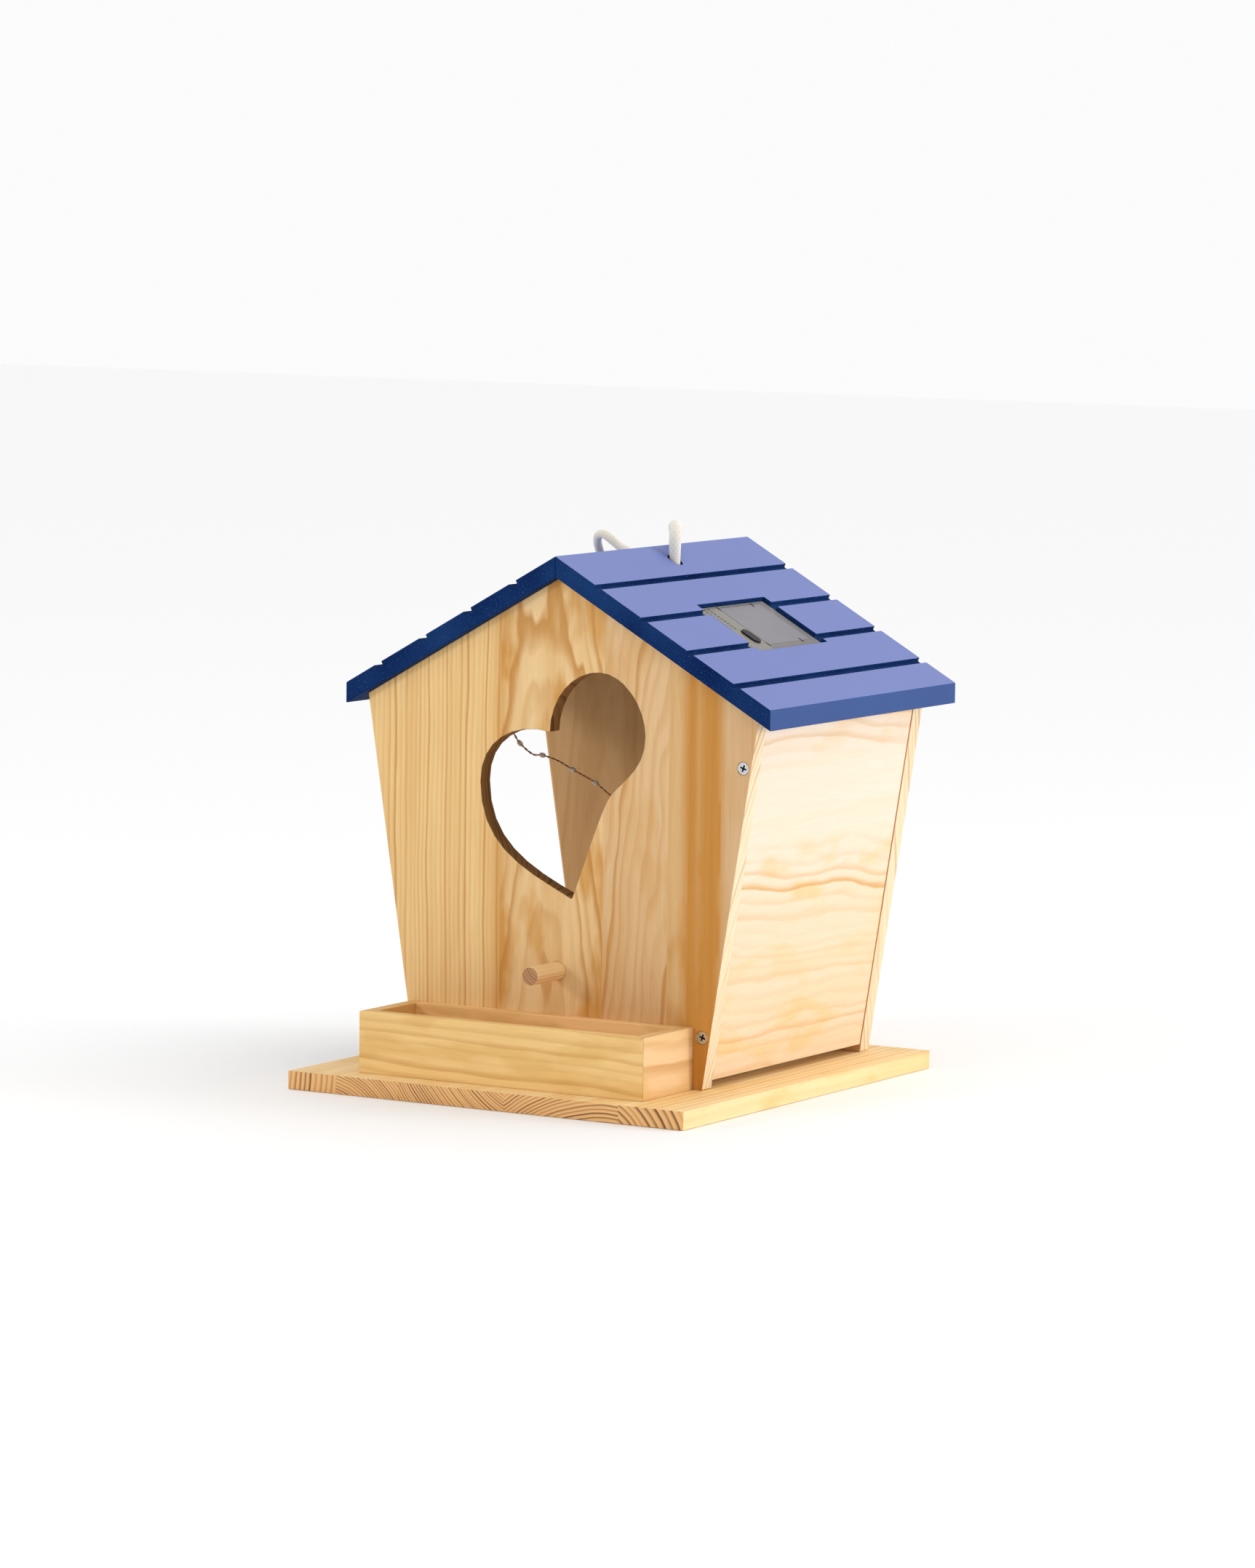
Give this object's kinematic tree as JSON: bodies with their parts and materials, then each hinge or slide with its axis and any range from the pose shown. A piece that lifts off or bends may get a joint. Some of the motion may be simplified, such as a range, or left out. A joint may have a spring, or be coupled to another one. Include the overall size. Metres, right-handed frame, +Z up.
{
  "type": "hanging bird feeder",
  "caption": "Pine bird-feeder house on a square board with tray, heart opening, perch, painted gable roof, solar light string and rope loop.",
  "frame": {"origin": "on the ground, under the ridge and midway between the base board's front and back ends", "axes": "-Y is the front with the heart and the tray, +X is right, +Z is up; the ridge runs along Y"},
  "size_m": [0.215, 0.215, 0.2449],
  "materials": {
    "pine": "satin",
    "blue_wood": "matte",
    "steel_screw": "satin",
    "rope": "matte",
    "grey_plastic": "matte",
    "solar_cell": "gloss",
    "clear_cover": "gloss",
    "label": "matte",
    "black_plastic": "satin",
    "circuit": "satin",
    "battery_sleeve": "satin",
    "spring_steel": "satin",
    "copper_wire": "satin",
    "clear_resin": "gloss"
  },
  "bodies": {
    "house": {"base_board": "pine", "tray_front_board": "pine", "tray_back_board": "pine", "tray_end_left": "pine", "tray_end_right": "pine", "front_panel": "pine", "back_panel": "pine", "side_wall": "pine", "perch_dowel": "pine", "wall_screws": "steel_screw", "base_screws": "steel_screw", "roof_left": "blue_wood", "roof_right": "blue_wood", "rope_loop": "rope", "rope_knot_left": "rope", "rope_knot_right": "rope", "solar_case": "grey_plastic", "case_lid": "grey_plastic", "lid_screws": "steel_screw", "solar_cell": "solar_cell", "cell_cover": "clear_cover", "control_label": "label", "circuit_board": "circuit", "battery": "battery_sleeve", "contact_spring": "spring_steel", "contact_plate": "spring_steel", "light_wire": "copper_wire", "light_beads": "clear_resin", "wire_staple": "spring_steel"},
    "button": {"power_button": "black_plastic"}
  },
  "joints": [
    {"name": "power_button_push", "type": "slide", "parent": "house", "child": "button", "axis": [0.4886, 0, 0.8725], "range_m": [-0.0008, 0], "stiffness_N_per_m": 400}
  ]
}
